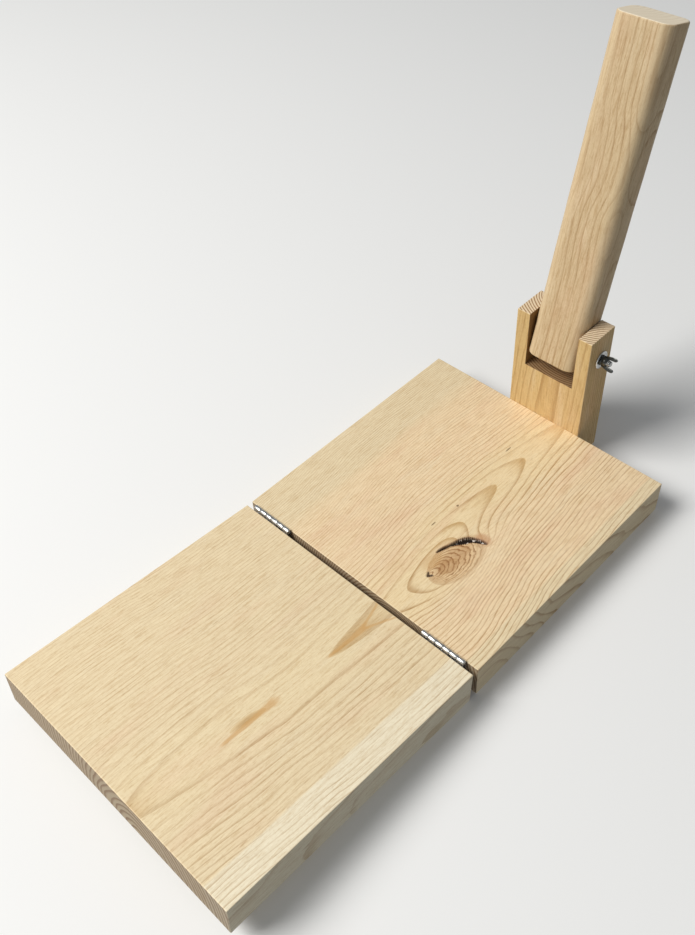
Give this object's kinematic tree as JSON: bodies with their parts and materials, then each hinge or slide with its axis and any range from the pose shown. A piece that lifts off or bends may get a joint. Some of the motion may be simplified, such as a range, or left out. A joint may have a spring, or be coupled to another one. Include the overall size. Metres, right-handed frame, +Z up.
{
  "type": "hinged lever press",
  "caption": "Hand press: flat pine base and hinged pine lid joined end to end, with a long lever pivoting in a slotted post at the back.",
  "frame": {"origin": "centre of the base board's underside", "axes": "+Y from the hinged lid towards the lever post, +X to the right of a user facing the post, +Z up"},
  "size_m": [0.2858, 0.6755, 0.4296],
  "materials": {
    "pine_base": "sanded bare pine, knotty",
    "pine_lid": "sanded bare pine",
    "pine_post": "sanded bare pine, slightly yellower",
    "pine_lever": "sanded bare pine, rounded edges",
    "hinge_steel": "bright zinc plate",
    "pin_steel": "drawn steel wire",
    "screw_steel": "bright zinc plate",
    "deck_screw_steel": "yellow zinc plate",
    "bolt_zinc": "zinc plate",
    "washer_zinc": "zinc plate",
    "wing_nut_zinc": "cold-forged, zinc plate"
  },
  "bodies": {
    "base": {"base_board": "pine_base", "lever_post": "pine_post", "post_screws": "deck_screw_steel", "pivot_bolt": "bolt_zinc", "bolt_washer": "washer_zinc", "left_hinge_base_leaf": "hinge_steel", "left_hinge_pin": "pin_steel", "left_hinge_base_screws": "screw_steel", "right_hinge_base_leaf": "hinge_steel", "right_hinge_pin": "pin_steel", "right_hinge_base_screws": "screw_steel"},
    "lid": {"lid_board": "pine_lid", "left_hinge_lid_leaf": "hinge_steel", "left_hinge_lid_screws": "screw_steel", "right_hinge_lid_leaf": "hinge_steel", "right_hinge_lid_screws": "screw_steel"},
    "lever": {"lever": "pine_lever"},
    "wing_nut": {"wing_nut": "wing_nut_zinc"}
  },
  "joints": [
    {"name": "lid_hinge", "type": "hinge", "parent": "base", "child": "lid", "pos_m": [0, -0.144, 0.0386], "axis": [-1, 0, 0], "range_deg": [0, 176]},
    {"name": "lever_pivot", "type": "hinge", "parent": "base", "child": "lever", "pos_m": [0, 0.162, 0.1283], "axis": [1, 0, 0], "range_deg": [-97, 108.9]},
    {"name": "wing_nut_turn", "type": "hinge", "parent": "base", "child": "wing_nut", "pos_m": [0.0452, 0.162, 0.1283], "axis": [1, 0, 0], "continuous": true}
  ]
}
